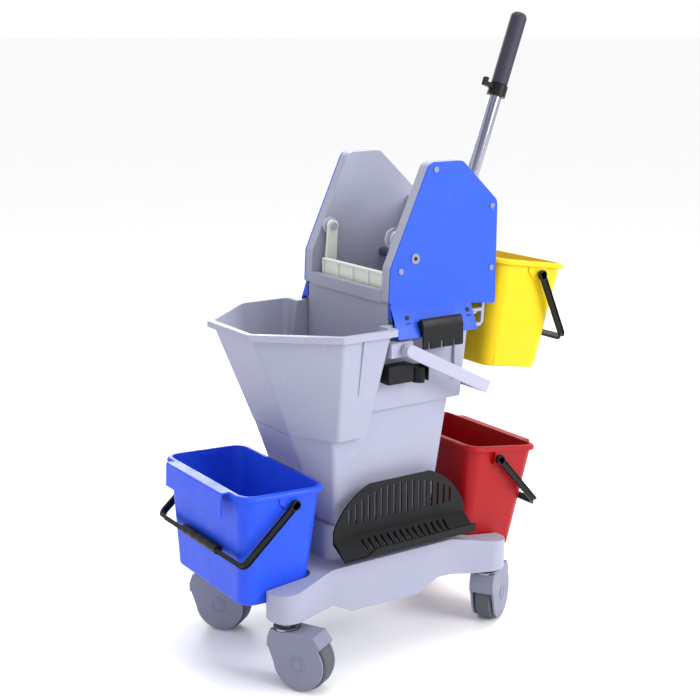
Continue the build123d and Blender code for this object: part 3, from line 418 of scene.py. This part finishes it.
def pail_shell():
    """The tapered tub with its rolled rim, drawn with its rim centre at the origin."""
    half_x, half_y = PAIL_TOP[0] / 2, PAIL_TOP[1] / 2
    shell = start_box("pail_shell", (-half_x, -half_y, -PAIL_HEIGHT), (half_x, half_y, -PAIL_WALL))
    with editing(shell):
        choose("FACE", lambda mid, normal: normal.z < -0.5)
        grow(PAIL_BASE[0] / PAIL_TOP[0], PAIL_BASE[1] / PAIL_TOP[1], 1)
        choose("EDGE", lambda mid, way: abs(way.z) > 0.9)
        bpy.ops.mesh.bevel(offset=PAIL_CORNER * MM, segments=8, affect="EDGES", offset_type="OFFSET")
        choose("EDGE", lambda mid, way: mid.z < -PAIL_HEIGHT + 0.1)
        bpy.ops.mesh.bevel(offset=5 * MM, segments=4, affect="EDGES", offset_type="OFFSET")
        choose("FACE", lambda mid, normal: normal.z > 0.5 and mid.z > -PAIL_WALL - 0.1)
        bpy.ops.mesh.delete(type="ONLY_FACE")
        choose("EDGE", lambda mid, way: mid.z > -PAIL_WALL - 0.1)
        bpy.ops.mesh.extrude_region_move()
        grow(PAIL_RIM[0] / PAIL_TOP[0], PAIL_RIM[1] / PAIL_TOP[1], 1)
        push(z=PAIL_WALL - RIM_DROP)
        choose("EDGE", lambda mid, way: mid.z > -PAIL_WALL - 0.1 and on_outline(mid, PAIL_RIM))
        bpy.ops.mesh.bevel(offset=1.9 * MM, segments=4, affect="EDGES", offset_type="OFFSET")
        bpy.ops.mesh.select_all(action="SELECT")
        bpy.ops.mesh.normals_make_consistent(inside=False)
    finish_with(shell, "SOLIDIFY", thickness=PAIL_WALL * MM, offset=-1.0, use_even_offset=True)
    return shell


def on_outline(mid, size, radius=PAIL_CORNER + 1):
    """Whether a point lies within 1 mm of a rounded rectangle's outline."""
    past_x = abs(mid.x) - size[0] / 2 + radius
    past_y = abs(mid.y) - size[1] / 2 + radius
    if past_x > 0 and past_y > 0:
        distance = (past_x * past_x + past_y * past_y) ** 0.5 - radius
    else:
        distance = max(past_x, past_y) - radius
    return abs(distance) < 1.0


def pail_hook():
    """The strip along one long side that hangs the bucket on a rail."""
    out, thick, half, drop = HOOK["out"], HOOK["thick"], HOOK["half"], HOOK["drop"]
    hook = start_box("pail_hook", (out, -half, -drop), (out + thick, half, -thick))
    with editing(hook):
        choose("FACE", lambda mid, normal: normal.z > 0.5)
        push(z=thick)
        choose("FACE", lambda mid, normal: normal.x > 0.5 and mid.z > -thick)
        push(x=-PAIL_RIM[0] / 2 + 1 - out - thick)
        choose("EDGE", lambda mid, way: abs(way.y) > 0.9 and mid.z > -0.1 and mid.x < out + 0.1)
        bpy.ops.mesh.bevel(offset=2.6 * MM, segments=4, affect="EDGES", offset_type="OFFSET")
    return hook


def pail_boss(side):
    """The square block under the rim that the handle turns in, with a web beside it."""
    y = side * (PAIL_RIM[1] / 2 + PAIL_WALL)
    wall = side * (PAIL_RIM[1] / 2 - 7)
    low = (PIVOT.x - BOSS_HALF, min(y, wall), PIVOT.z - BOSS_HALF)
    high = (PIVOT.x + BOSS_HALF, max(y, wall), -RIM_DROP + 3)
    boss = start_box("pail_boss", low, high)
    with editing(boss):
        choose("FACE", lambda mid, normal: normal.x < -0.5)
        push(x=-14)
        choose("EDGE", lambda mid, way: abs(way.y) > 0.9 and mid.x < PIVOT.x - 20 and mid.z < PIVOT.z)
        move(z=12)
        choose("FACE", lambda mid, normal: normal.y * side > 0.5 and mid.x < PIVOT.x - BOSS_HALF)
        move(y=-side * 3.5)
    return boss


def pail_foot_ribs():
    """A raised foot rib up each lower corner of the hook side."""
    ribs = []
    for side in (-1, 1):
        x, y = -PAIL_BASE[0] / 2 + 16, side * (PAIL_BASE[1] / 2 - 0.6)
        rib = start_box("pail_rib", (x - 1.5, y - 1.5, -PAIL_HEIGHT + 6),
                        (x + 1.5, y + 1.5, -PAIL_HEIGHT + 62))
        with editing(rib):
            choose("FACE", lambda mid, normal: normal.z > 0.5)
            move(x=-1, y=side * 2.6)
            grow(0.4, 0.4, 1, (x, y + side * 2.6, 0))
        ribs.append(rib)
    return ribs


def make_pail_form():
    pieces = [pail_shell(), pail_hook(), pail_boss(-1), pail_boss(1)] + pail_foot_ribs()
    form = joined("pail_form", pieces)
    outward(form)
    round_edges(form, 0.8, 2)
    return smooth(form)


def pail_matrix(x, z, lean, turned):
    """The place of a small bucket: its rim centre, its lean about +Y, and which end its hook is."""
    turn = Matrix.Rotation(pi if turned else 0, 4, "Z")
    return Matrix.Translation(mm(x, 0, z)) @ Matrix.Rotation(radians(lean), 4, "Y") @ turn


BAIL = {"length": 122, "width": 11, "thick": 6, "inside": 131, "corner": 14}
BAIL_EYE_CLEAR = 12   # how far below the pivots the channel starts
GRIP = {"half": 55, "radius": 7.5, "waist": 0.9, "cuts": 17}


def make_bail_form():
    """The channel-section handle of a small bucket, hanging straight down from its pivot line."""
    length, width, thick, inside, corner = BAIL.values()
    outside = inside + thick
    strip = start_box("bail_strip", (-width / 2, -outside, -8), (width / 2, -inside, 6))
    with editing(strip):
        choose("FACE", lambda mid, normal: normal.z < -0.5)
        push(z=-(length - corner - 8))
        bpy.ops.mesh.spin(steps=8, dupli=False, angle=pi / 2,
                          center=mm(0, -outside + corner, -length + corner), axis=(-1, 0, 0))
        push(y=2 * (outside - corner))
        bpy.ops.mesh.spin(steps=8, dupli=False, angle=pi / 2,
                          center=mm(0, outside - corner, -length + corner), axis=(-1, 0, 0))
        push(z=length - corner + 6)
        bpy.ops.mesh.select_all(action="SELECT")
        bpy.ops.mesh.remove_doubles(threshold=0.01 * MM)
        bpy.ops.mesh.normals_make_consistent(inside=False)
        choose("FACE", lambda mid, normal: mid.z < -BAIL_EYE_CLEAR
               and on_outside(mid, normal, outside, length, corner))
        bpy.ops.mesh.inset(thickness=1.8 * MM, depth=0, use_boundary=True)
        push_inward(-2.4)
    round_edges(strip, 0.9, 2)
    grip = make_bail_grip(length)
    pins = []
    for side in (-1, 1):
        disc = start_rod("bail_eye", (0, side * (inside + thick / 2), 0), 8, thick)
        round_edges(disc, 1.2, 3)
        pins.append(disc)
    form = joined("bail_form", [strip, grip] + pins)
    return smooth(form)


def on_outside(mid, normal, outside, length, corner):
    """Whether a face of the strip looks away from the middle of its bend."""
    if mid.z > -length + corner:
        return abs(normal.y) > 0.9 and abs(mid.y) > outside - 1
    if abs(mid.y) < outside - corner:
        return normal.z < -0.9
    side = 1 if mid.y > 0 else -1
    outwards = Vector((0, mid.y - (outside - corner) * side, mid.z + length - corner))
    return normal.dot(outwards) > 1


def push_inward(depth):
    bpy.ops.mesh.extrude_region_shrink_fatten(TRANSFORM_OT_shrink_fatten={"value": depth * MM})


def make_bail_grip(length):
    """The thicker middle of the handle, waisted for four fingers."""
    half, waist, cuts = GRIP["half"], GRIP["waist"], GRIP["cuts"]
    middle = (0, 0, -length + BAIL["width"] / 2)
    grip = start_rod("bail_grip", middle, GRIP["radius"], 2 * half, "Y", 24)
    with editing(grip):
        for i in range(1, cuts):
            bpy.ops.mesh.select_all(action="SELECT")
            y = -half + 2 * half * i / cuts
            bpy.ops.mesh.bisect(plane_co=mm(0, y, 0), plane_no=(0, 1, 0))
        for i in range(2, cuts, 4):
            y = -half + 2 * half * i / cuts
            choose("VERT", lambda mid, normal: abs(mid.y - y) < 4)
            grow(waist, 1, waist, middle)
    return round_edges(grip, 1.2, 3, 60)


PAILS = (
    # colour, rim centre x and z, lean, turned, handle angle, material
    ("blue", -191.5, 303, 2.5, False, 49, blue_pp),
    ("red", 228, 300, 8, True, -42, red_pp),
    ("yellow", 278.5, 600, 9, False, -24, yellow_pp),
)


def make_small_buckets():
    form, bail = make_pail_form(), make_bail_form()
    for colour, x, z, lean, turned, angle, material in PAILS:
        place = pail_matrix(x, z, lean, turned)
        body = copied(form, f"bucket_{colour}_tub", place)
        fit(body, f"pail_{colour}", f"pail_{colour}", material, f"bucket_{colour}")
        pivot = place @ (PIVOT * MM)
        hang = Matrix.Translation((pivot.x, 0, pivot.z)) @ Matrix.Rotation(radians(angle), 4, "Y")
        handle = copied(bail, f"bail_{colour}_handle", hang)
        fit(handle, f"handle_{colour}", "black_plastic", black_pp, f"bail_{colour}")
    removed(form)
    removed(bail)


# ---------------------------------------------------------------- casters
def make_casters():
    for name in ("fl", "fr", "rl", "rr"):
        hood = moulding(f"caster_{name}_hood", f"caster_{name}_hood_finished", 2.2, 3)
        fit(hood, f"swivel_{name}", "caster_grey", caster_pp, f"caster_{name}_hood")
        tyre = moulding(f"caster_{name}_tyre", f"caster_{name}_tyre_finished", 1.0, 2)
        fit(tyre, f"wheel_{name}", "tyre_grey", tyre_rubber, f"caster_{name}_tyre")
        hub = moulding(f"caster_{name}_hub", f"caster_{name}_hub_finished", 1.0, 2)
        fit(hub, f"wheel_{name}", "caster_grey", caster_pp, f"caster_{name}_hub")
        axle = moulding(f"caster_{name}_axle", f"caster_{name}_axle_finished", 0.5, 2)
        fit(axle, f"swivel_{name}", "zinc_steel", zinc, f"caster_{name}_axle")


SWIVELS = {
    # corner: x and y of its swivel axis, and which way the wheel trails, in degrees
    "fl": (-192, -126, -62),
    "fr": (-192, 126, -54),
    "rl": (192, -126, 33),
    "rr": (192, 126, 28),
}
AXLE = (30, 45)   # how far behind the swivel axis and how high the axle is
HOOD_HALF = 20    # half the width of a caster hood


def make_axle_caps():
    """A plain cap with a raised ring over each end of each axle."""
    parts = []
    for side in (-1, 1):
        cap = start_rod("axle_cap", (AXLE[0], side * (HOOD_HALF + 0.2), AXLE[1]), 7, 1.2)
        parts.append(round_edges(cap, 0.4, 2))
        bpy.ops.object.select_all(action="DESELECT")
        bpy.ops.mesh.primitive_torus_add(location=mm(AXLE[0], side * HOOD_HALF, AXLE[1]),
                                         rotation=(pi / 2, 0, 0), major_segments=48, minor_segments=8,
                                         major_radius=12 * MM, minor_radius=0.9 * MM)
        parts.append(settle(bpy.context.object, "axle_ring"))
    form = smooth(joined("axle_cap_form", parts))
    for name, (x, y, turn) in SWIVELS.items():
        place = Matrix.Translation(mm(x, y, 0)) @ Matrix.Rotation(radians(turn), 4, "Z")
        caps = copied(form, f"caster_{name}_axle_caps", place)
        fit(caps, f"swivel_{name}", "caster_grey", caster_pp)
    removed(form)


# ---------------------------------------------------------------- small details
SKIRT = {"fold": 120, "flare": 23, "top": 556, "drop": 47, "tilt": 26}


def skirt_out(z):
    """How far the outer face of a skirt is from the plane of symmetry at height z."""
    return SKIRT["fold"] + SKIRT["flare"] * (SKIRT["top"] - z) / SKIRT["drop"]


def make_skirt_studs():
    """Dark push-in studs on the flared skirts, each with a thin black bar under it, which is painted
    shade standing for a short slot.
    """
    stud = round_edges(start_rod("stud", (0, 0, 0), 3.6, 2.4, "Y", 24), 0.8, 3)
    # The slot is a raised black bar: painted shade in place of the dark opening of a slot.
    slot = round_edges(start_box("stud_slot_shade", (-5, -0.6, -10), (5, 0.6, -8.4)), 0.4, 2)
    form = smooth(joined("stud_form", [stud, slot]))
    studs = []
    z = 538
    tilt = Matrix.Rotation(radians(-SKIRT["tilt"]), 4, "X")
    for side in (-1, 1):
        facing = Matrix.Rotation(0 if side < 0 else pi, 4, "Z")
        for x in (24, 140):
            place = Matrix.Translation(mm(x, side * (skirt_out(z) + 0.3), z))
            studs.append(copied(form, "stud", place @ facing @ tilt))
    removed(form)
    fit(joined("skirt_studs", studs), "press", "black_plastic", black_pp)


def make_bolt_socket_shade():
    """Black discs in the middle of the two tie bolts: painted shade standing for the hollow sockets
    there.
    """
    x, outer_face, z = 45, 121.0, 625
    # Each disc stands proud of its bolt in black plastic: painted shade for the socket's hollow.
    socket_shade_discs = [round_edges(start_rod("eye", (x, side * outer_face, z), 2.9, 1.2, "Y", 24), 0.3, 2)
            for side in (-1, 1)]
    fit(smooth(joined("tie_bolt_socket_shade", socket_shade_discs)), "press", "black_plastic", black_pp)


RIB = {"x": -68, "half": 2.2, "in": 147.4, "out": 152.8, "low": 430, "top": 517, "slope": 17.2}


def make_bucket_ribs():
    """A thin rib on each side of the funnel, which fades into the wall below."""
    ribs = []
    for side in (-1, 1):
        y = sorted((side * RIB["out"], side * RIB["in"]))
        rib = start_box("funnel_rib", (RIB["x"] - RIB["half"], y[0], RIB["low"]),
                        (RIB["x"] + RIB["half"], y[1], RIB["top"]))
        with editing(rib):
            choose("FACE", lambda mid, normal: normal.z < -0.5)
            move(y=-side * RIB["slope"])
            grow(0.5, 1, 1, (RIB["x"], 0, 0))
        ribs.append(round_edges(rib, 0.9, 3))
    fit(smooth(joined("funnel_ribs", ribs)), "main_bucket", "grey_plastic", grey_pp)


# ---------------------------------------------------------------- the room
def make_room():
    bpy.ops.object.select_all(action="DESELECT")
    bpy.ops.mesh.primitive_plane_add(size=400, location=(0, 0, 0))
    floor = settle(bpy.context.object, "studio_floor")
    floor.data.materials.append(painted_floor())
    world = bpy.data.worlds.new("studio")
    bpy.context.scene.world = world
    world.use_nodes = True
    world.node_tree.nodes["Background"].inputs["Color"].default_value = linear("#FFFFFF")
    world.node_tree.nodes["Background"].inputs["Strength"].default_value = 1.0


def soft_light(name, place, target, size, power):
    bpy.ops.object.light_add(type="AREA", location=place)
    lamp = bpy.context.object
    lamp.name = name
    lamp.data.shape = "DISK"
    lamp.data.size = size
    lamp.data.energy = power
    lamp.rotation_euler = (Vector(target) - Vector(place)).to_track_quat("-Z", "Y").to_euler()


def make_lights_and_camera():
    middle = (0, 0, 0.4)
    soft_light("key_softbox", (1.3, -2.5, 1.7), middle, 1.6, 66)
    soft_light("back_softbox", (0.8, 2.6, 1.7), middle, 1.6, 50)
    soft_light("top_softbox", (0.5, 0.0, 2.7), middle, 1.8, 26)
    bpy.ops.object.camera_add(location=(-1.1538, -1.7276, 0.9575),
                              rotation=(radians(76.7), 0, radians(-33.9)))
    camera = bpy.context.object
    camera.data.lens = 69.2
    bpy.context.scene.camera = camera
    bpy.context.scene.view_settings.view_transform = "Standard"


make_mouldings()
make_casters()
make_axle_caps()
make_skirt_studs()
make_bolt_socket_shade()
make_bucket_ribs()
make_small_buckets()
make_room()
make_lights_and_camera()

bpy.context.view_layer.update()
